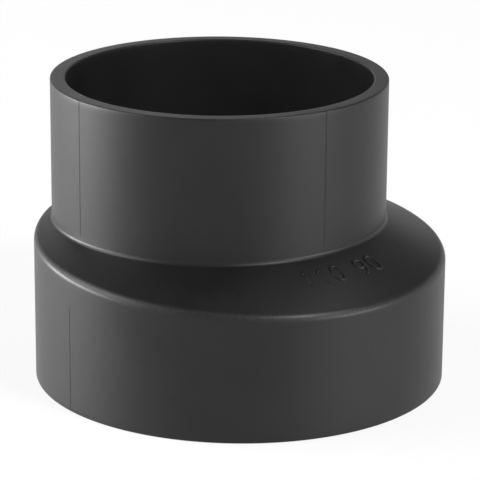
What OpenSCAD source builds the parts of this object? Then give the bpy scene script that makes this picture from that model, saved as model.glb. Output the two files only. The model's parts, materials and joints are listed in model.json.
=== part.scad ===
// Eccentric reducer of a plastic drainage pipe, all sizes in millimetres.
//
// It stands on its large end. The origin is the centre of the large end face, +Z runs up to the small
// end, and X runs along the eccentricity: the two ends line up on the -X side and the shoulder is at
// its widest on the +X side. The real fitting is one seamless moulding, drawn here as its three zones,
// which meet face to face: a plain large spigot, the shoulder, and a plain small spigot.

/* [Body] */
// Height over both ends
height = 80; // [72:1:120]

/* [Large spigot] */
// Outside diameter of the large spigot
large_diameter = 110; // [104:1:125]
// Wall of the large spigot
large_wall = 4.6; // [3:0.1:6]

/* [Small spigot] */
// Outside diameter of the small spigot
small_diameter = 90; // [63:1:94]
// Wall of the small spigot
small_wall = 4.0; // [2.5:0.1:6]
// Length of the small spigot, from its corner with the shoulder to its rim
small_length = 38.4; // [20:0.1:44]

/* [Shoulder] */
// Height that the shoulder falls across its widest side
shoulder_fall = 8.3; // [5:0.1:12]
// Wall of the shoulder, square to its slope
shoulder_wall = 4.3; // [3:0.1:6]
// Radius that rounds the shoulder over into the large spigot
shoulder_round = 2.6; // [1:0.1:5]
// Radius of the fillet at the foot of the small spigot
foot_fillet = 1.2; // [0.5:0.1:2]
// Radius at the inside edge of the small bore
inner_edge_round = 1.5; // [0.5:0.1:3]
// Radius of the fillet under the shoulder, inside the large bore
inner_fillet = 1.5; // [0.5:0.1:3.5]

/* [Rims] */
// Radius that breaks the edges of the two free ends
rim_round = 0.4; // [0.2:0.1:1]

/* [Alignment lines] */
// Number of fine lines that are spaced evenly round each spigot
line_count = 4; // [2:2:8]
// Width of one line
line_width = 0.5; // [0.3:0.1:1.2]
// Depth of one line
line_depth = 0.25; // [0.1:0.05:0.6]

/* [Smoothness] */
// Steps round the shoulder
shoulder_steps = 90; // [48:6:120]
// Segments of a round cut
round_steps = 128; // [64:8:256]

/* [Hidden] */

moulding_colour = "#343536";

large_r = large_diameter / 2;
small_r = small_diameter / 2;
large_bore_r = large_r - large_wall;
small_bore_r = small_r - small_wall;

// The bores line up on the -X side, or the outsides do where the small wall is the thicker one.
eccentricity = large_r - small_r - max(0, large_wall - small_wall);

// The slope is a cone round the small spigot's axis, steep enough for its fall at the widest side.
widest_step = large_r + eccentricity - small_r;
slope = atan(shoulder_fall / widest_step);

// The slope's two corners stay at least this far apart in height where the walls line up, and each round
// keeps at least this much of its side there.
least_drop = 0.5;
least_tangent = least_drop / 4;

// Heights of the two outer and two inner corners, of which the lower ones are at the widest side.
foot_z = height - small_length;
edge_z = foot_z - shoulder_fall;
inner_top_z = foot_z + small_wall * tan(slope) - shoulder_wall / cos(slope);
inner_low_z = inner_top_z - (large_bore_r + eccentricity - small_bore_r) * tan(slope);

// A round of radius r takes up this much of each side of a corner that turns by the given angle.
function tangent_length(r, turn = 90 - slope) = r * tan(turn / 2);

// The joint faces lie this far clear of the shoulder's rounds and fillets, where both walls are plain.
joint_clearance = 0.3;
lower_joint_z = min(edge_z - tangent_length(shoulder_round),
                    inner_low_z - tangent_length(inner_fillet)) - joint_clearance;
upper_joint_z = max(foot_z + tangent_length(foot_fillet),
                    inner_top_z + tangent_length(inner_edge_round)) + joint_clearance;

large_length = lower_joint_z;
small_plain_length = height - upper_joint_z;

// Points along each kind of round
shoulder_round_points = 8;
foot_fillet_points = 5;
inner_round_points = 4;
rim_round_points = 4;

// Cuts run past a face by this much.
overcut = 1;

// A point of the conic arc from a to b that is tangent to a-corner and corner-b. The weight is the
// sine of half the corner's angle, for which equal sides give a true circular arc.
function conic_point(a, corner, b, weight, u) =
    (a * pow(1 - u, 2) + corner * 2 * weight * u * (1 - u) + b * pow(u, 2))
    / (pow(1 - u, 2) + 2 * weight * u * (1 - u) + pow(u, 2));

function conic_arc(a, corner, b, weight, steps) =
    [for (u = [0 : 1 / steps : 1 + 0.5 / steps]) conic_point(a, corner, b, weight, min(u, 1))];

function without_last(list) = [for (i = [0 : len(list) - 2]) list[i]];
function reversed(list) = [for (i = [len(list) - 1 : -1 : 0]) list[i]];

// Distance from the small spigot's axis to a circle of radius r round the large axis, at azimuth a.
function reach(r, a) = eccentricity * cos(a) + sqrt(pow(r, 2) - pow(eccentricity * sin(a), 2));

// One line from a wall of radius far_r up the slope to a wall of radius near_r, both measured from the
// small axis, with its two corners rounded. It runs from far_z on the far wall to near_z on the near one.
// Where the step between the walls is narrow, the line steepens and the rounds share what there is of it.
function sloped_line(near_r, near_z, near_round, near_points, far_r, far_z, far_round, far_points, corner_z) =
    let (
        step = far_r - near_r,
        even_drop = step * tan(slope),
        drop = norm([even_drop, least_drop]),
        near_corner = [near_r, corner_z + (drop - even_drop) / 2],
        far_corner = [far_r, near_corner[1] - drop],
        run = norm([step, drop]),
        turn = 90 - atan2(drop, step),
        near_tangent = norm([tangent_length(near_round, turn), least_tangent]),
        far_tangent = norm([tangent_length(far_round, turn), least_tangent]),
        share = run / norm([run, near_tangent + far_tangent]),
        along = (far_corner - near_corner) / run * share,
        up = [0, share],
        weight = cos(turn / 2),
        far_arc = conic_arc(far_corner - up * far_tangent, far_corner,
                            far_corner - along * far_tangent, weight, far_points),
        near_arc = conic_arc(near_corner + up * near_tangent, near_corner,
                             near_corner + along * near_tangent, weight, near_points)
    )
    concat([[far_r, far_z]], without_last(far_arc), [(near_corner + far_corner) / 2],
           reversed(without_last(near_arc)), [[near_r, near_z]]);

// Closed section of the shoulder at azimuth a round the small axis, as [radius, height] points
function shoulder_section(a) = concat(
    sloped_line(small_r, upper_joint_z, foot_fillet, foot_fillet_points,
                reach(large_r, a), lower_joint_z, shoulder_round, shoulder_round_points, foot_z),
    reversed(sloped_line(small_bore_r, upper_joint_z, inner_edge_round, inner_round_points,
                         reach(large_bore_r, a), lower_joint_z, inner_fillet, inner_round_points,
                         inner_top_z)));

// Two triangles for each cell between neighbouring sections of a closed ring
function ring_faces(rings, points) = [
    for (i = [0 : rings - 1], j = [0 : points - 1])
        let (
            i2 = (i + 1) % rings,
            j2 = (j + 1) % points,
            a = i * points + j,
            b = i * points + j2,
            c = i2 * points + j2,
            d = i2 * points + j
        )
        each [[a, b, c], [a, c, d]]
];

// Fine lines cut along a spigot of outside radius r
module alignment_lines(r, length) {
    for (i = [0 : line_count - 1])
        rotate(i * 360 / line_count)
            translate([r - line_depth, -line_width / 2, -overcut])
                cube([line_depth + overcut, line_width, length + 2 * overcut]);
}

// A plain tube that stands on its joint face, with its free rim at the top
module spigot(r, wall, length) {
    right_angle_weight = cos(45);
    outer_edge = conic_arc([r, length - rim_round], [r, length], [r - rim_round, length],
                           right_angle_weight, rim_round_points);
    bore_r = r - wall;
    inner_edge = conic_arc([bore_r + rim_round, length], [bore_r, length], [bore_r, length - rim_round],
                           right_angle_weight, rim_round_points);
    difference() {
        rotate_extrude($fn = round_steps)
            polygon(concat([[bore_r, 0], [r, 0]], outer_edge, inner_edge));
        alignment_lines(r, length);
    }
}

module large_spigot() {
    color(moulding_colour)
        translate([0, 0, large_length])
            mirror([0, 0, 1])
                spigot(large_r, large_wall, large_length);
}

module eccentric_shoulder() {
    sections = [for (i = [0 : shoulder_steps - 1]) shoulder_section(i * 360 / shoulder_steps)];
    points = [
        for (i = [0 : shoulder_steps - 1], p = sections[i])
            let (a = i * 360 / shoulder_steps)
            [p[0] * cos(a) - eccentricity, p[0] * sin(a), p[1]]
    ];
    color(moulding_colour)
        polyhedron(points, ring_faces(shoulder_steps, len(sections[0])));
}

module small_spigot() {
    color(moulding_colour)
        translate([-eccentricity, 0, upper_joint_z])
            spigot(small_r, small_wall, small_plain_length);
}

large_spigot();
eccentric_shoulder();
small_spigot();
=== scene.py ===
"""A black polyethylene eccentric reducer in a pale studio, dressed on its packed frame.

The reducer stands on its large end, with +Z up, X along the eccentricity and the side where its bores line
up at -X. Lengths are metres and angles radians. Every surface of the moulding is a grid: its rows follow a
closed section, its columns go round the small spigot's axis, and neighbouring pieces share the same ring of
points where they meet, so the reducer reads as the one moulding that it is.
"""

import json
import math

import bpy
import numpy as np
from bpy.props import FloatProperty, FloatVectorProperty, IntProperty, PointerProperty
from bpy.types import Operator, Panel, PropertyGroup
from mathutils import Matrix, Vector


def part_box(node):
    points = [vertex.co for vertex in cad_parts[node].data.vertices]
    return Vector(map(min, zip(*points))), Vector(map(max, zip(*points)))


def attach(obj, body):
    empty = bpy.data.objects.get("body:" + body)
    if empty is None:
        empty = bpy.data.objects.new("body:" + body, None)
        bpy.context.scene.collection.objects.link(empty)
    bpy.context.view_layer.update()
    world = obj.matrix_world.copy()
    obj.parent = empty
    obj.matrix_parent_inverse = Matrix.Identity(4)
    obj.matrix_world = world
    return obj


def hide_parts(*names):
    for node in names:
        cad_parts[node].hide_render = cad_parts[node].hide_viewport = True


bl_info = {
    "name": "Eccentric Reducer",
    "version": (1, 0, 0),
    "blender": (4, 5, 0),
    "location": "View3D > Sidebar > Reducer",
    "description": "Moulded surfaces, raised size numbers, finish and studio of an eccentric pipe reducer",
    "category": "Add Mesh",
}

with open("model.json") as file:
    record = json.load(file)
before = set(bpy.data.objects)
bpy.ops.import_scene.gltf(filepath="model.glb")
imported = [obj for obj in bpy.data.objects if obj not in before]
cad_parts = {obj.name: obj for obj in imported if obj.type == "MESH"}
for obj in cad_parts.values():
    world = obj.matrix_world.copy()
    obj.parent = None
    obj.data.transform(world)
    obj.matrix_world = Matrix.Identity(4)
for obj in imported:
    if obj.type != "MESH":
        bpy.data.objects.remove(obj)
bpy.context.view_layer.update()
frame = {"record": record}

MM = 0.001
BODY = "root"


def mount(name):
    """The mount of that name in the packed record."""
    return next(m for m in frame["record"]["mounts"] if m["name"] == name)


def mount_radius(name):
    """Radius of a round mount."""
    return mount(name)["dims"]["r_mm"] * MM


LARGE_R = mount_radius("large_spigot_outside")
LARGE_BORE_R = mount_radius("large_bore")
SMALL_R = mount_radius("small_spigot_outside")
SMALL_BORE_R = mount_radius("small_bore")
ECCENTRICITY = -mount("small_bore")["pos_m"][0]
BASE_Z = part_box("large_spigot")[0].z
LOWER_JOINT_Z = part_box("large_spigot")[1].z
UPPER_JOINT_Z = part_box("small_spigot")[0].z
RIM_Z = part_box("small_spigot")[1].z
WIDEST_STEP = LARGE_R + ECCENTRICITY - SMALL_R

WALL_STEPS, RIM_STEPS = 5, 6
OUTER_ROUND_STEPS, OUTER_SLOPE_STEPS = 16, 20
INNER_ROUND_STEPS, INNER_SLOPE_STEPS = 10, 12
LARGE_OUTSIDE_STEPS, LARGE_BORE_STEPS = 24, 14
SMALL_OUTSIDE_STEPS, SMALL_BORE_STEPS = 30, 18
QUARTER_TURN_WEIGHT = math.sqrt(0.5)  # makes a conic arc round a square corner a circle's quarter
LINE_COLUMNS = np.array([0.0, 0.13, 0.26, 0.38, 0.46, 0.52, 0.75, 1.1])  # off a line's middle, in line widths
LEAST_COLUMN_STEP = 3e-4  # radians
FACING_BACK = [0, 3, 2, 1]  # order of a quad's corners that turns its face over

END_WEAR, END_WEAR_REACH = 0.5, 1.5  # the most wear at a free end's edge, and its reach in rim rounds
SHOULDER_WEAR_AND_SHEEN, SHOULDER_WEAR_AND_SHEEN_REACH = 0.8, 0.5  # the most wear and painted highlight at the shoulder's edge, and its reach in shoulder rounds
DIGIT_WIDTH = 0.6  # of a digit's box, in digit heights
STROKE_STEPS = 10  # across a stroke's rounded face
STROKE_TIP = 0.12  # square of the share of its width that a stroke keeps at its very end

FLOOR_GAP = 0.0002  # between the paper and the reducer
LAMP_DISTANCE = 1.6
SOFT_BOXES = (  # name, azimuth and elevation in degrees, width and height in metres
    ("left_strip", -135.5, 0.4, 1.2, 0.1),
    ("left_box", -125.5, 34, 1.2, 0.7),
    ("right_strip", 24.5, 0.4, 1.0, 0.1),
    ("right_box", 14.5, 27, 1.1, 0.7),
    ("right_top_box", 7, 46, 0.33, 0.28),
    ("back_left_box", 157.5, 28, 0.7, 0.5),
    ("back_right_box", 102.5, 62, 0.7, 0.6),
)


# ---------------------------------------------------------------------------------------------------------
# Settings
# ---------------------------------------------------------------------------------------------------------


def length(name, description, millimetres):
    """A length property with its default given in millimetres."""
    return FloatProperty(
        name=name, description=description, default=millimetres * MM, precision=5, unit="LENGTH"
    )


def angle(name, description, degrees):
    """An angle property with its default given in degrees."""
    return FloatProperty(
        name=name, description=description, default=math.radians(degrees), subtype="ANGLE"
    )


def share(name, description, value):
    """A property from 0 to 1."""
    return FloatProperty(
        name=name, description=description, default=value, min=0.0, max=1.0, subtype="FACTOR"
    )


def colour(name, description, value):
    """A linear colour property."""
    return FloatVectorProperty(
        name=name, description=description, default=value, size=3, min=0.0, max=1.0, subtype="COLOR"
    )


def watts(name, description, value):
    """A lamp's power."""
    return FloatProperty(name=name, description=description, default=value, min=0.0, unit="POWER")


class ReducerShape(PropertyGroup):
    """Sizes of the moulded surfaces that the frame doesn't give."""

    foot_height: length(
        "Foot height", "Height of the corner between the shoulder and the small spigot", 41.6
    )
    shoulder_fall: length(
        "Shoulder fall", "Height that the shoulder falls across its widest side", 8.3
    )
    shoulder_wall: length("Shoulder wall", "Wall of the shoulder, square to its slope", 4.3)
    shoulder_round: length(
        "Shoulder round", "Radius that rounds the shoulder over into the large spigot", 2.6
    )
    foot_fillet: length("Foot fillet", "Radius at the foot of the small spigot", 1.2)
    inner_edge_round: length("Inner edge round", "Radius at the small bore's inside edge", 1.5)
    inner_fillet: length("Inner fillet", "Radius under the shoulder, in the large bore", 1.5)
    least_drop: length(
        "Least drop", "Height between the slope's corners where the walls line up", 0.5
    )
    rim_round: length("Rim round", "Radius that breaks the edges of the two free ends", 0.4)
    line_width: length("Line width", "Width of one alignment line", 0.5)
    line_depth: length("Line depth", "Depth of one alignment line", 0.08)
    line_fade: length("Line fade", "Length over which a line runs out at the shoulder", 1.2)
    worn_line: share("Worn line", "Share of its depth kept by the large spigot's line at +X", 0.2)
    line_count: IntProperty(
        name="Lines", description="Number of alignment lines round a spigot", default=4, min=2, max=8
    )
    columns: IntProperty(
        name="Columns",
        description="Even columns of the surface grid round the reducer",
        default=360,
        min=96,
        max=720,
    )


class ReducerNumbers(PropertyGroup):
    """Raised size numbers on the shoulder."""

    digit_height: length("Digit height", "Height of a digit, up the slope", 6.2)
    digit_step: length("Digit step", "Distance from one digit to the next", 4.8)
    gap: length("Gap", "Distance between the two numbers", 4.0)
    stroke: length("Stroke", "Width of a digit's stroke", 0.9)
    proud: length("Proud", "Height that the digits stand proud of the slope", 0.35)
    sunk: length("Sunk", "Depth by which the digits reach into the slope", 0.25)
    base_step: length("Base step", "Distance from the small spigot's wall to the digits' foot", 9.6)
    azimuth: angle("Azimuth", "Azimuth of the middle of the two numbers", 1.0)


class ReducerFinish(PropertyGroup):
    """Colour and gloss of the moulded polyethylene."""

    base: colour("Base", "Colour of the carbon-black polyethylene", (0.0055, 0.0055, 0.0057))
    bloom: colour("Bloom", "Colour of the paler, drier patches", (0.0085, 0.0085, 0.0087))
    # colour of scuffed edges at the free ends, and of the highlight painted along the shoulder's edge
    worn: colour("Worn", "Colour of scuffed edges", (0.026, 0.026, 0.0262))
    roughness: share("Roughness", "Middle roughness of the satin surface", 0.5)
    gloss: share("Gloss", "Specular level of the surface", 0.26)
    skin: share("Skin", "Share of the thin, smoother skin left by the mould", 0.1)
    skin_roughness: share("Skin roughness", "Roughness of the smoother skin", 0.28)


class ReducerStudio(PropertyGroup):
    """Camera, floor and light levels."""

    lens: FloatProperty(
        name="Lens", description="Focal length of the camera", default=202.1, unit="CAMERA"
    )
    camera_distance: length(
        "Camera distance", "Distance of the camera from the large spigot's axis, over the floor", 687.4
    )
    camera_height: length("Camera height", "Height of the camera over the floor", 255.6)
    camera_azimuth: angle("Camera azimuth", "Azimuth at which the camera stands", -37.5)
    camera_pitch: angle("Camera pitch", "Angle by which the camera looks down", 17.676)
    camera_roll: angle("Camera roll", "Turn of the camera about its own view", 0.418)
    floor: colour("Floor", "Colour of the pale paper sweep", (0.9, 0.9, 0.9))
    glow: share("Glow", "Share of the paper's look that is plain white", 0.86)
    room: colour("Room", "Soft grey light of the room", (0.05, 0.05, 0.05))
    left_strip: watts("Left strip", "Power of the low strip light at the left", 46.0)
    left_box: watts("Left box", "Power of the raised soft box at the left", 22.5)
    right_strip: watts("Right strip", "Power of the low strip light at the right", 14.0)
    right_box: watts("Right box", "Power of the raised soft box at the right", 7.2)
    right_top_box: watts("Right top box", "Power of the high soft box at the right", 14.0)
    back_left_box: watts("Back left box", "Power of the soft box behind, at the left", 1.4)
    back_right_box: watts("Back right box", "Power of the high soft box behind, at the right", 2.8)


SETTINGS = {
    "reducer_shape": ReducerShape,
    "reducer_numbers": ReducerNumbers,
    "reducer_finish": ReducerFinish,
    "reducer_studio": ReducerStudio,
}


# ---------------------------------------------------------------------------------------------------------
# Sections: rows of (radius, height) pairs for every column, radii from the small spigot's axis
# ---------------------------------------------------------------------------------------------------------


def reach(radius, azimuth):
    """Distance from the small axis to the circle of that radius round the large axis, at azimuth a.

    It is e cos a + sqrt(r^2 - e^2 sin^2 a), with e the eccentricity.
    """
    across = ECCENTRICITY * np.sin(azimuth)
    return ECCENTRICITY * np.cos(azimuth) + np.sqrt(radius**2 - across**2)


def point(radius, height, azimuth):
    """One (radius, height) pair for every column."""
    return np.stack(np.broadcast_arrays(radius, height, azimuth)[:2])


def straight(start, end, steps):
    """Rows evenly spaced from start to end, without the last."""
    u = (np.arange(steps) / steps)[:, None, None]
    return start + (end - start) * u


def conic_arc(start, corner, end, weight, steps):
    """Rows round a corner, from start towards corner and on to end, without the last.

    Row u is ((1-u)^2 start + 2wu(1-u) corner + u^2 end) / ((1-u)^2 + 2wu(1-u) + u^2). With the weight w the
    sine of half the corner's angle, it is a circular arc.
    """
    u = (np.arange(steps) / steps)[:, None, None]
    first, middle, last = (1 - u) ** 2, 2 * weight * u * (1 - u), u**2
    return (first * start + middle * corner + last * end) / (first + middle + last)


def azimuth_columns(shape):
    """Azimuths of the columns: an even ring, and a close cluster across every alignment line."""
    even = np.arange(shape.columns) * math.tau / shape.columns
    across = np.concatenate([-LINE_COLUMNS[:0:-1], LINE_COLUMNS]) * shape.line_width
    lines = np.arange(shape.line_count)[:, None] * math.tau / shape.line_count
    small = (lines + across / SMALL_R).ravel()
    turned = lines + across / LARGE_R
    large = np.arctan2(LARGE_R * np.sin(turned), LARGE_R * np.cos(turned) + ECCENTRICITY).ravel()
    clusters = np.concatenate([small, large]) % math.tau
    apart = np.abs((even[:, None] - clusters + math.pi) % math.tau - math.pi).min(1)
    ring = np.sort(np.concatenate([even[apart > 0.5 * math.tau / shape.columns], clusters]))
    return ring[np.concatenate([[True], np.diff(ring) > LEAST_COLUMN_STEP])]


def line_groove(azimuth, radius, fade, shape):
    """Depth of the alignment lines: depth (1 - (2s/w)^2)^2 at a distance s from a line of width w.

    azimuth is taken round the spigot's own axis, and fade is a share from 0 to 1 for each row.
    """
    pitch = math.tau / shape.line_count
    off = (azimuth + pitch / 2) % pitch - pitch / 2
    across = np.clip(2 * off * radius / shape.line_width, -1, 1)
    return shape.line_depth * (1 - across**2) ** 2 * fade


def smooth(value):
    """The smooth step 3x^2 - 2x^3 of a value that is held between 0 and 1."""
    held = np.clip(value, 0, 1)
    return held * held * (3 - 2 * held)


def slope_drops(step, shape):
    """Drop of the even cone over that step outwards, and the slope's own drop.

    The cone falls by shoulder_fall at the widest side. The slope's drop is sqrt(cone drop^2 + least_drop^2),
    so it is never under least_drop.
    """
    cone_drop = step * shape.shoulder_fall / WIDEST_STEP
    return cone_drop, np.hypot(cone_drop, shape.least_drop)


def sloped_rows(near_r, near_round, far_r, far_round, corner_z, low_z, high_z, shape, steps):
    """Rows up a wall of radius far_r, over the slope and up the wall of radius near_r, without the last.

    The slope is a cone round the small axis. Its corners stay least_drop apart in height where the walls
    line up, and both are rounded by conic arcs.
    """
    wall_steps, round_steps, slope_steps = steps
    step = far_r - near_r
    cone_drop, drop = slope_drops(step, shape)
    near_corner = point(near_r, corner_z + (drop - cone_drop) / 2, far_r)
    far_corner = near_corner + np.stack([step, -drop])
    run = np.hypot(step, drop)
    turn = math.pi / 2 - np.arctan2(drop, step)
    least_tangent = shape.least_drop / 4
    near_tangent = np.hypot(near_round * np.tan(turn / 2), least_tangent)
    far_tangent = np.hypot(far_round * np.tan(turn / 2), least_tangent)
    kept = run / np.hypot(run, near_tangent + far_tangent)
    along = (far_corner - near_corner) / run
    up = np.array([[0.0], [1.0]])
    weight = np.cos(turn / 2)
    far_wall = far_corner - up * far_tangent * kept
    far_slope = far_corner - along * far_tangent * kept
    near_slope = near_corner + along * near_tangent * kept
    near_wall = near_corner + up * near_tangent * kept
    return np.concatenate(
        [
            straight(point(far_r, low_z, far_r), far_wall, wall_steps),
            conic_arc(far_wall, far_corner, far_slope, weight, round_steps),
            straight(far_slope, near_slope, slope_steps),
            conic_arc(near_slope, near_corner, near_wall, weight, round_steps),
            straight(near_wall, point(near_r, high_z, far_r), wall_steps),
        ]
    )


def shoulder_section(azimuth, shape):
    """Closed section of the shoulder, and the rows that bound its two joint faces."""
    outer_far, inner_far = reach(LARGE_R, azimuth), reach(LARGE_BORE_R, azimuth)
    slope = math.atan(shape.shoulder_fall / WIDEST_STEP)
    wall = SMALL_R - SMALL_BORE_R
    inner_corner_z = shape.foot_height + wall * math.tan(slope) - shape.shoulder_wall / math.cos(slope)
    outer = sloped_rows(
        SMALL_R, shape.foot_fillet, outer_far, shape.shoulder_round, shape.foot_height,
        LOWER_JOINT_Z, UPPER_JOINT_Z, shape, (WALL_STEPS, OUTER_ROUND_STEPS, OUTER_SLOPE_STEPS),
    )
    inner = sloped_rows(
        SMALL_BORE_R, shape.inner_edge_round, inner_far, shape.inner_fillet, inner_corner_z,
        LOWER_JOINT_Z, UPPER_JOINT_Z, shape, (WALL_STEPS, INNER_ROUND_STEPS, INNER_SLOPE_STEPS),
    )
    outer = np.concatenate([outer, point(SMALL_R, UPPER_JOINT_Z, azimuth)[None]])
    inner = np.concatenate([inner, point(SMALL_BORE_R, UPPER_JOINT_Z, azimuth)[None]])
    rows = np.concatenate([outer, inner[::-1]])
    return rows, [0, len(outer) - 1, len(outer), len(rows) - 1]


def large_section(azimuth, shape):
    """Closed section of the large spigot, from the rim up its outside, over the joint and down the bore."""
    wall, bore = reach(LARGE_R, azimuth), reach(LARGE_BORE_R, azimuth)
    edge = shape.rim_round
    low = point(wall, BASE_Z + edge, azimuth)
    joint = point(wall, LOWER_JOINT_Z, azimuth)
    bore_joint = point(bore, LOWER_JOINT_Z, azimuth)
    bore_low = point(bore, BASE_Z + edge, azimuth)
    face_in = point(bore + edge, BASE_Z, azimuth)
    face_out = point(wall - edge, BASE_Z, azimuth)
    outside = straight(low, joint, LARGE_OUTSIDE_STEPS)
    rows = np.concatenate(
        [
            outside,
            joint[None],
            straight(bore_joint, bore_low, LARGE_BORE_STEPS),
            conic_arc(bore_low, point(bore, BASE_Z, azimuth), face_in, QUARTER_TURN_WEIGHT, RIM_STEPS),
            straight(face_in, face_out, RIM_STEPS),
            conic_arc(face_out, point(wall, BASE_Z, azimuth), low, QUARTER_TURN_WEIGHT, RIM_STEPS),
        ]
    )
    turned = np.arctan2(wall * np.sin(azimuth), wall * np.cos(azimuth) - ECCENTRICITY)
    fade = smooth((LOWER_JOINT_Z - rows[:, 1]) / shape.line_fade)
    kept = np.where(abs(turned) < math.pi / shape.line_count, shape.worn_line, 1.0)
    rows[:, 0] = np.minimum(rows[:, 0], wall - kept * line_groove(turned, LARGE_R, fade, shape))
    return rows, [len(outside), len(outside) + 1]


def small_section(azimuth, shape):
    """Closed section of the small spigot, from the joint up its outside, over the rim and down the bore."""
    edge = shape.rim_round
    joint = point(SMALL_R, UPPER_JOINT_Z, azimuth)
    high = point(SMALL_R, RIM_Z - edge, azimuth)
    face_out = point(SMALL_R - edge, RIM_Z, azimuth)
    face_in = point(SMALL_BORE_R + edge, RIM_Z, azimuth)
    bore_high = point(SMALL_BORE_R, RIM_Z - edge, azimuth)
    bore_joint = point(SMALL_BORE_R, UPPER_JOINT_Z, azimuth)
    rows = np.concatenate(
        [
            straight(joint, high, SMALL_OUTSIDE_STEPS),
            conic_arc(high, point(SMALL_R, RIM_Z, azimuth), face_out, QUARTER_TURN_WEIGHT, RIM_STEPS),
            straight(face_out, face_in, RIM_STEPS),
            conic_arc(
                face_in, point(SMALL_BORE_R, RIM_Z, azimuth), bore_high, QUARTER_TURN_WEIGHT, RIM_STEPS
            ),
            straight(bore_high, bore_joint, SMALL_BORE_STEPS),
            bore_joint[None],
        ]
    )
    fade = smooth((rows[:, 1] - UPPER_JOINT_Z) / shape.line_fade)
    rows[:, 0] = np.minimum(rows[:, 0], SMALL_R - line_groove(azimuth, SMALL_R, fade, shape))
    return rows, [0, len(rows) - 1]


# ---------------------------------------------------------------------------------------------------------
# Meshes
# ---------------------------------------------------------------------------------------------------------


def ring_quads(rows, columns, closes=True):
    """Quads of a grid whose rows are rings, and whose last row meets the first where it closes.

    They face out where the rows go up the outside and the columns anticlockwise.
    """
    bands = rows if closes else rows - 1
    m, n = np.meshgrid(np.arange(bands), np.arange(columns), indexing="ij")
    above, beside = (m + 1) % rows, (n + 1) % columns
    corners = [m * columns + n, m * columns + beside, above * columns + beside, above * columns + n]
    return np.stack(corners, -1).reshape(-1, 4)


def add_piece(name, points, quads, material):
    """A smooth-shaded mesh object of those points and quads, riding on the reducer's body."""
    mesh = bpy.data.meshes.new(name)
    mesh.from_pydata(points, [], quads)
    mesh.polygons.foreach_set("use_smooth", np.ones(len(quads), bool))
    mesh.materials.append(material)
    mesh.update()
    piece = bpy.data.objects.new(name, mesh)
    bpy.context.scene.collection.objects.link(piece)
    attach(piece, BODY)
    return piece


def crease_rows(mesh, columns, rows):
    """Marks the rings of edges that run along those rows as sharp."""
    ends = np.empty(len(mesh.edges) * 2, int)
    mesh.edges.foreach_get("vertices", ends)
    row = ends.reshape(-1, 2) // columns
    sharp = (row[:, 0] == row[:, 1]) & np.isin(row[:, 0], rows)
    mesh.attributes.new("sharp_edge", "BOOLEAN", "EDGE").data.foreach_set("value", sharp)


def mark_wear(mesh, points, shape):
    """Stores edge_wear on the points, from each one's distance d to an edge.

    It is END_WEAR exp(-d / reach) at the edges of the free ends, which is wear, and SHOULDER_WEAR_AND_SHEEN
    exp(-(d / reach)^2) along the shoulder's outer edge, over a wider band that is partly wear and partly a
    painted highlight.
    """
    x, y, z = points.T
    large_radius = np.hypot(x, y)
    radius, azimuth = np.hypot(x + ECCENTRICITY, y), np.arctan2(y, x + ECCENTRICITY)
    top = np.hypot(z - RIM_Z, np.minimum(abs(radius - SMALL_R), abs(radius - SMALL_BORE_R)))
    foot = np.hypot(
        z - BASE_Z, np.minimum(abs(large_radius - LARGE_R), abs(large_radius - LARGE_BORE_R))
    )
    ends = END_WEAR * np.exp(-np.minimum(top, foot) / (END_WEAR_REACH * shape.rim_round))
    edge_r = reach(LARGE_R, azimuth)
    edge_z = shape.foot_height - sum(slope_drops(edge_r - SMALL_R, shape)) / 2
    apart = np.hypot(radius - edge_r, z - edge_z) / (SHOULDER_WEAR_AND_SHEEN_REACH * shape.shoulder_round)
    wear_and_sheen = np.maximum(ends, SHOULDER_WEAR_AND_SHEEN * np.exp(-(apart**2)))
    edge_wear = mesh.attributes.new("edge_wear", "FLOAT", "POINT")
    edge_wear.data.foreach_set("value", wear_and_sheen.astype(np.float32))


def add_moulding(name, section, shape, material):
    """One zone of the moulding: its section carried round the small spigot's axis."""
    azimuth = azimuth_columns(shape)
    rows, creases = section(azimuth, shape)
    radius, height = rows[:, 0], rows[:, 1]
    points = np.stack(
        [radius * np.cos(azimuth) - ECCENTRICITY, radius * np.sin(azimuth), height], -1
    ).reshape(-1, 3)
    piece = add_piece(name, points, ring_quads(len(rows), len(azimuth)), material)
    crease_rows(piece.data, len(azimuth), creases)
    mark_wear(piece.data, points, shape)
    return piece


# ---------------------------------------------------------------------------------------------------------
# Raised numbers
# ---------------------------------------------------------------------------------------------------------


def ellipse(centre_x, centre_y, half_width, half_height, steps):
    """Points round an ellipse, anticlockwise."""
    t = np.arange(steps) * math.tau / steps
    return np.stack([centre_x + half_width * np.cos(t), centre_y + half_height * np.sin(t)], -1)


def bend(start, corner, end, steps):
    """Points on the parabola (1-u)^2 start + 2u(1-u) corner + u^2 end."""
    u = np.linspace(0, 1, steps)[:, None]
    return (1 - u) ** 2 * np.array(start) + 2 * u * (1 - u) * np.array(corner) + u**2 * np.array(end)


def digit_strokes(digit):
    """Strokes of a digit, each its points and whether it closes, in a box DIGIT_WIDTH wide and 1 high."""
    if digit == 0:
        return [(ellipse(0.30, 0.50, 0.24, 0.44, 40), True)]
    if digit == 1:
        return [
            (bend((0.34, 0.94), (0.34, 0.5), (0.34, 0.06), 16), False),
            (bend((0.14, 0.76), (0.24, 0.82), (0.33, 0.93), 8), False),
        ]
    if digit == 9:
        return [
            (ellipse(0.30, 0.68, 0.24, 0.26, 36), True),
            (bend((0.54, 0.68), (0.55, 0.22), (0.20, 0.06), 18), False),
        ]
    raise ValueError(f"no strokes are drawn for the digit {digit}")


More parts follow.
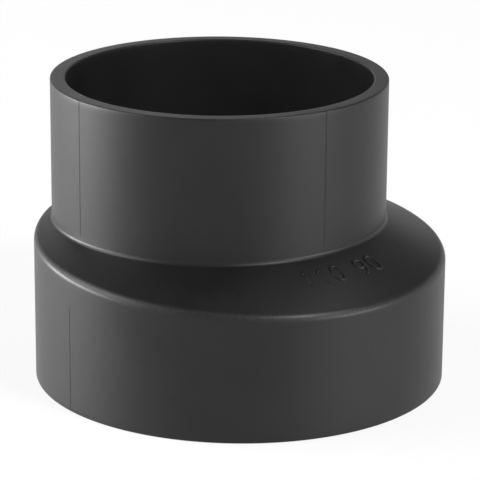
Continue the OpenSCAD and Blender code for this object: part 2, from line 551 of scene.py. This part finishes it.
def ridge(path, closes, width, proud, sunk):
    """A moulded ridge along a path in the slope's plane: its (along, up, out) points, quads and grid size.

    Across the path, v runs from -1 to 1 and the ridge stands proud (1 - v^4) out of the slope. Its two foot
    edges reach into the slope by sunk. The ends of an open path narrow to a rounded tip.
    """
    across = np.linspace(-1, 1, STROKE_STEPS)
    side = np.concatenate([across, [1.0, -1.0]])
    out = np.concatenate([proud * (1 - across**4), [-sunk, -sunk]])
    if closes:
        run = np.roll(path, -1, 0) - np.roll(path, 1, 0)
        narrow = np.ones(len(path))
    else:
        run = np.gradient(path, axis=0)
        travelled = np.concatenate([[0], np.cumsum(np.hypot(*np.diff(path, axis=0).T))])
        from_end = np.minimum(travelled, travelled[-1] - travelled) / (width / 2)
        narrow = np.sqrt(np.clip(1 - (1 - np.clip(from_end, 0, 1)) ** 2, STROKE_TIP, 1))
    run = run / np.hypot(run[:, 0], run[:, 1])[:, None]
    left = np.stack([-run[:, 1], run[:, 0]], -1)
    spread = narrow[:, None] * side[None] * width / 2
    plane = path[:, None] + left[:, None] * spread[..., None]
    height = np.broadcast_to(out, spread.shape)
    points = np.concatenate([plane, height[..., None]], -1)
    rings, around = spread.shape
    return points.reshape(-1, 3), ring_quads(rings, around, closes)[:, FACING_BACK], (rings, around)


def cap_quads(rings, around):
    """Quads that close the two ends of an open ridge, whose section has an even number of points."""
    k = np.arange(around // 2 - 1)
    start = np.stack([k, k + 1, around - 2 - k, around - 1 - k], -1)
    last = (rings - 1) * around
    return start, start[:, ::-1] + last


def on_slope(points, numbers, shape):
    """Carries (along, up, out) points onto the shoulder's cone.

    up is measured inwards along the slope from the digits' foot, along is an arc length there, and out is
    square to the slope.
    """
    slope = math.atan(shape.shoulder_fall / WIDEST_STEP)
    along, up, out = points.T
    foot_r = SMALL_R + numbers.base_step
    radius = foot_r - up * math.cos(slope)
    height = shape.foot_height - (radius - SMALL_R) * math.tan(slope) + out * math.cos(slope)
    radius = radius + out * math.sin(slope)
    azimuth = numbers.azimuth + along / foot_r
    return np.stack(
        [radius * np.cos(azimuth) - ECCENTRICITY, radius * np.sin(azimuth), height], -1
    )


def digit_ridges(text, numbers, offset):
    """Ridges of a number's digits, each moved offset along and scaled to the digit height."""
    strokes = []
    for place, digit in enumerate(text):
        for path, closes in digit_strokes(int(digit)):
            middle = offset + place * numbers.digit_step
            along = middle + (path[:, 0] - DIGIT_WIDTH / 2) * numbers.digit_height
            up = path[:, 1] * numbers.digit_height
            strokes.append((np.stack([along, up], -1), closes))
    return strokes


def add_numbers(numbers, shape, material):
    """The two nominal diameters in millimetres, side by side, as one piece of ridges on the slope."""
    large, small = (str(round(2 * radius / MM)) for radius in (LARGE_R, SMALL_R))
    width = (len(large) + len(small) - 1) * numbers.digit_step + numbers.gap
    second = len(large) * numbers.digit_step + numbers.gap
    strokes = digit_ridges(large, numbers, -width / 2) + digit_ridges(small, numbers, second - width / 2)
    points, quads, start = [], [], 0
    for path, closes in strokes:
        ridge_points, ridge_quads, grid = ridge(
            path, closes, numbers.stroke, numbers.proud, numbers.sunk
        )
        points.append(on_slope(ridge_points, numbers, shape))
        caps = [] if closes else cap_quads(*grid)
        quads += [part + start for part in (ridge_quads, *caps)]
        start += len(ridge_points)
    points = np.concatenate(points)
    piece = add_piece("size_numbers", points, np.concatenate(quads), material)
    mark_wear(piece.data, points, shape)
    return piece


# ---------------------------------------------------------------------------------------------------------
# Finish
# ---------------------------------------------------------------------------------------------------------


def add_node(tree, kind, sockets=None, **settings):
    """A node with its settings; each socket takes a value, or a link where another node's output is given."""
    node = tree.nodes.new(kind)
    for name, value in settings.items():
        setattr(node, name, value)
    for key, value in (sockets or {}).items():
        if isinstance(value, bpy.types.NodeSocket):
            tree.links.new(value, node.inputs[key])
        else:
            node.inputs[key].default_value = value
    return node


def empty_material(name):
    """A material with an empty node tree, and that tree."""
    material = bpy.data.materials.new(name)
    material.use_nodes = True
    material.node_tree.nodes.clear()
    return material, material.node_tree


def noise(tree, place, scale, detail, roughness):
    """A noise of that scale in cycles a metre, from 0 to 1."""
    sockets = {"Vector": place, "Scale": scale, "Detail": detail, "Roughness": roughness}
    return add_node(tree, "ShaderNodeTexNoise", sockets).outputs["Fac"]


def remap(tree, value, low, high, to_low, to_high):
    """The value carried linearly from low..high to to_low..to_high, and held there."""
    sockets = {"Value": value, "From Min": low, "From Max": high, "To Min": to_low, "To Max": to_high}
    return add_node(tree, "ShaderNodeMapRange", sockets).outputs["Result"]


def combine(tree, operation, first, second):
    """Two values put together by a math operation."""
    return add_node(tree, "ShaderNodeMath", {0: first, 1: second}, operation=operation).outputs[0]


def blend_colours(tree, factor, first, second):
    """Mix of two colours by a factor from 0 to 1."""
    return add_node(
        tree, "ShaderNodeMix", {0: factor, 6: first, 7: second}, data_type="RGBA"
    ).outputs[2]


def opaque(value):
    """The colour with an alpha of 1."""
    return (*value, 1.0)


def polyethylene(finish):
    """Satin carbon-black polyethylene: cloudy bloom, a fine moulded grain and edges painted paler,
    as scuffs at the free ends and as scuffs and a painted highlight along the shoulder's edge.
    """
    material, tree = empty_material("satin_black_polyethylene")
    place = add_node(tree, "ShaderNodeTexCoord").outputs["Object"]
    clouds = noise(tree, place, scale=45.0, detail=4.0, roughness=0.55)
    specks = noise(tree, place, scale=900.0, detail=3.0, roughness=0.6)
    scuffs = noise(tree, place, scale=1700.0, detail=4.0, roughness=0.65)
    grain = noise(tree, place, scale=2600.0, detail=2.0, roughness=0.5)
    wear_and_sheen = add_node(tree, "ShaderNodeAttribute", attribute_name="edge_wear").outputs["Fac"]

    cloudy = remap(tree, clouds, 0.42, 0.68, 0.0, 1.0)
    speckled = remap(tree, specks, 0.35, 0.65, 0.4, 1.0)
    patches = combine(tree, "MULTIPLY", cloudy, speckled)
    body_colour = blend_colours(tree, patches, opaque(finish.base), opaque(finish.bloom))
    # Edges are painted paler: scuffs at the free ends, and along the shoulder's edge partly scuffs, partly a
    # painted highlight
    near_edge = remap(tree, wear_and_sheen, 0.25, 0.95, 0.0, 1.0)
    wear_and_sheen_patches = remap(tree, scuffs, 0.42, 0.62, 0.0, 1.0)
    worn = combine(tree, "MULTIPLY", near_edge, wear_and_sheen_patches)
    base_colour = blend_colours(tree, worn, body_colour, opaque(finish.worn))
    roughness = remap(tree, patches, 0.0, 1.0, finish.roughness - 0.03, finish.roughness + 0.05)

    height = combine(tree, "ADD", specks, combine(tree, "MULTIPLY", grain, 0.35))
    bump = add_node(tree, "ShaderNodeBump", {"Height": height, "Strength": 0.35, "Distance": 0.00006})
    surface = add_node(
        tree,
        "ShaderNodeBsdfPrincipled",
        {
            "Base Color": base_colour,
            "Roughness": roughness,
            "Specular IOR Level": finish.gloss,
            "Coat Weight": finish.skin,
            "Coat Roughness": finish.skin_roughness,
            "Normal": bump.outputs["Normal"],
        },
    )
    add_node(tree, "ShaderNodeOutputMaterial", {"Surface": surface.outputs["BSDF"]})
    return material


def seen_directly(tree):
    """1 for camera, glossy and transmission rays, and 0 for the rays that carry soft light."""
    path = add_node(tree, "ShaderNodeLightPath").outputs
    direct = combine(tree, "MAXIMUM", path["Is Camera Ray"], path["Is Glossy Ray"])
    return combine(tree, "MAXIMUM", direct, path["Is Transmission Ray"])


def blend_shaders(tree, factor, first, second):
    """Mix of two shaders by a factor from 0 to 1."""
    return add_node(tree, "ShaderNodeMixShader", {0: factor, 1: first, 2: second}).outputs[0]


def white_paper(studio):
    """Pale paper that is seen almost white, keeps a soft shadow, and lets views from under it through."""
    material, tree = empty_material("white_paper")
    paper = add_node(tree, "ShaderNodeBsdfDiffuse", {"Color": opaque(studio.floor)}).outputs[0]
    glow = add_node(tree, "ShaderNodeEmission", {"Color": (1, 1, 1, 1), "Strength": 1.0}).outputs[0]
    lifted = blend_shaders(tree, studio.glow, paper, glow)
    shown = blend_shaders(tree, seen_directly(tree), paper, lifted)
    clear = add_node(tree, "ShaderNodeBsdfTransparent").outputs[0]
    under = add_node(tree, "ShaderNodeNewGeometry").outputs["Backfacing"]
    surface = blend_shaders(tree, under, shown, clear)
    add_node(tree, "ShaderNodeOutputMaterial", {"Surface": surface})
    return material


# ---------------------------------------------------------------------------------------------------------
# Studio
# ---------------------------------------------------------------------------------------------------------


def add_sweep(studio):
    """A round floor just under the reducer that turns up into a low wall all round.

    The floor's rings lie at radii that grow as the square of their number, the turn is a quarter circle, and
    every ring has the same azimuths.
    """
    flat, turn, wall_z = 3.2, 0.8, 1.3
    flat_rings, turn_rings, around = 10, 12, 96
    floor_z = BASE_Z - FLOOR_GAP
    radius = flat * (np.arange(1, flat_rings + 1) / flat_rings) ** 2
    bent = np.arange(1, turn_rings + 1) / turn_rings * math.pi / 2
    profile = np.concatenate(
        [
            np.stack([radius, np.full(flat_rings, floor_z)], -1),
            np.stack([flat + turn * np.sin(bent), floor_z + turn * (1 - np.cos(bent))], -1),
            [[flat + turn, wall_z]],
        ]
    )
    azimuth = np.arange(around) * math.tau / around
    points = np.stack(
        np.broadcast_arrays(
            profile[:, :1] * np.cos(azimuth), profile[:, :1] * np.sin(azimuth), profile[:, 1:]
        ),
        -1,
    ).reshape(-1, 3)
    quads = ring_quads(len(profile), around, closes=False)[:, FACING_BACK]
    mesh = bpy.data.meshes.new("studio_sweep")
    mesh.from_pydata(points, [], [list(range(around)), *quads.tolist()])
    mesh.materials.append(white_paper(studio))
    sweep = bpy.data.objects.new("studio_sweep", mesh)
    bpy.context.scene.collection.objects.link(sweep)


def light_room(studio):
    """A dim world that lights softly and evenly at the room's level."""
    world = bpy.data.worlds.new("studio_room")
    world.use_nodes = True
    tree = world.node_tree
    tree.nodes.clear()
    room = add_node(tree, "ShaderNodeBackground", {"Color": opaque(studio.room)}).outputs[0]
    add_node(tree, "ShaderNodeOutputWorld", {"Surface": room})
    bpy.context.scene.world = world


def soft_box(name, azimuth, elevation, width, height, power):
    """A rectangular lamp at that azimuth and elevation in degrees round the reducer, turned to face it."""
    lamp = bpy.data.lights.new(name, "AREA")
    lamp.shape = "RECTANGLE"
    lamp.size, lamp.size_y = width, height
    lamp.energy = power
    turn, rise = math.radians(azimuth), math.radians(elevation)
    way = Vector((math.cos(rise) * math.cos(turn), math.cos(rise) * math.sin(turn), math.sin(rise)))
    middle = Vector((0, 0, (BASE_Z + RIM_Z) / 2))
    box = bpy.data.objects.new(name, lamp)
    facing = way.to_track_quat("Z", "Y").to_matrix().to_4x4()
    box.matrix_world = Matrix.Translation(middle + way * LAMP_DISTANCE) @ facing
    box.visible_camera = False
    bpy.context.scene.collection.objects.link(box)


def add_camera(studio):
    """The photograph's viewpoint, at its azimuth and height, pitched down and rolled a little."""
    camera = bpy.data.cameras.new("camera")
    camera.lens = studio.lens
    camera.sensor_width = 36.0
    camera.clip_start, camera.clip_end = 0.05, 50.0
    stand = bpy.data.objects.new("camera", camera)
    place = Vector(
        (
            studio.camera_distance * math.cos(studio.camera_azimuth),
            studio.camera_distance * math.sin(studio.camera_azimuth),
            studio.camera_height,
        )
    )
    stand.matrix_world = (
        Matrix.Translation(place)
        @ Matrix.Rotation(studio.camera_azimuth + math.pi / 2, 4, "Z")
        @ Matrix.Rotation(math.pi / 2 - studio.camera_pitch, 4, "X")
        @ Matrix.Rotation(studio.camera_roll, 4, "Z")
    )
    bpy.context.scene.collection.objects.link(stand)
    bpy.context.scene.camera = stand


# ---------------------------------------------------------------------------------------------------------
# Operators and panel
# ---------------------------------------------------------------------------------------------------------


def finish_material(scene):
    """The moulding's material, made once and shared by its pieces."""
    return bpy.data.materials.get("satin_black_polyethylene") or polyethylene(scene.reducer_finish)


class MESH_OT_large_spigot(Operator):
    """Add the large spigot with its alignment lines, in place of its CAD solid"""

    bl_idname = "mesh.reducer_large_spigot"
    bl_label = "Large Spigot"
    bl_options = {"REGISTER", "UNDO"}

    def execute(self, context):
        scene = context.scene
        piece = add_moulding(
            "large_spigot_skin", large_section, scene.reducer_shape, finish_material(scene)
        )
        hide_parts("large_spigot")
        return {"FINISHED"}


class MESH_OT_eccentric_shoulder(Operator):
    """Add the rounded sloping shoulder, in place of its CAD solid"""

    bl_idname = "mesh.reducer_eccentric_shoulder"
    bl_label = "Eccentric Shoulder"
    bl_options = {"REGISTER", "UNDO"}

    def execute(self, context):
        scene = context.scene
        piece = add_moulding(
            "eccentric_shoulder_skin", shoulder_section, scene.reducer_shape, finish_material(scene)
        )
        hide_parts("eccentric_shoulder")
        return {"FINISHED"}


class MESH_OT_small_spigot(Operator):
    """Add the small spigot with its alignment lines, in place of its CAD solid"""

    bl_idname = "mesh.reducer_small_spigot"
    bl_label = "Small Spigot"
    bl_options = {"REGISTER", "UNDO"}

    def execute(self, context):
        scene = context.scene
        piece = add_moulding(
            "small_spigot_skin", small_section, scene.reducer_shape, finish_material(scene)
        )
        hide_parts("small_spigot")
        return {"FINISHED"}


class MESH_OT_size_numbers(Operator):
    """Add the raised size numbers on the shoulder's slope"""

    bl_idname = "mesh.reducer_size_numbers"
    bl_label = "Size Numbers"
    bl_options = {"REGISTER", "UNDO"}

    def execute(self, context):
        scene = context.scene
        add_numbers(scene.reducer_numbers, scene.reducer_shape, finish_material(scene))
        return {"FINISHED"}


class SCENE_OT_studio(Operator):
    """Add the paper sweep, the room's light, the soft boxes and the camera"""

    bl_idname = "scene.reducer_studio"
    bl_label = "Studio"
    bl_options = {"REGISTER", "UNDO"}

    def execute(self, context):
        studio = context.scene.reducer_studio
        add_sweep(studio)
        light_room(studio)
        for name, *placing in SOFT_BOXES:
            soft_box(name, *placing, getattr(studio, name))
        add_camera(studio)
        context.scene.view_settings.view_transform = "Standard"
        return {"FINISHED"}


class VIEW3D_PT_reducer(Panel):
    """The reducer's pieces, in the order in which they are made, and their settings"""

    bl_label = "Eccentric Reducer"
    bl_idname = "VIEW3D_PT_reducer"
    bl_space_type = "VIEW_3D"
    bl_region_type = "UI"
    bl_category = "Reducer"

    def draw(self, context):
        for operator in STEPS:
            self.layout.operator(operator.bl_idname)
        for name, group in SETTINGS.items():
            box = self.layout.box()
            box.label(text=group.__doc__)
            for setting in group.__annotations__:
                box.prop(getattr(context.scene, name), setting)


STEPS = (
    MESH_OT_large_spigot,
    MESH_OT_eccentric_shoulder,
    MESH_OT_small_spigot,
    MESH_OT_size_numbers,
    SCENE_OT_studio,
)
CLASSES = (*SETTINGS.values(), *STEPS, VIEW3D_PT_reducer)


def register():
    """Registers the classes, and hangs each group of settings on the scene."""
    for item in CLASSES:
        bpy.utils.register_class(item)
    for name, group in SETTINGS.items():
        setattr(bpy.types.Scene, name, PointerProperty(type=group))


def unregister():
    """Takes the settings and the classes off again, the last first."""
    for name in SETTINGS:
        delattr(bpy.types.Scene, name)
    for item in reversed(CLASSES):
        bpy.utils.unregister_class(item)


def main():
    """Registers the add-on, then makes every piece and the studio by their operators."""
    register()
    bpy.ops.mesh.reducer_large_spigot()
    bpy.ops.mesh.reducer_eccentric_shoulder()
    bpy.ops.mesh.reducer_small_spigot()
    bpy.ops.mesh.reducer_size_numbers()
    bpy.ops.scene.reducer_studio()


if __name__ == "__main__":
    main()
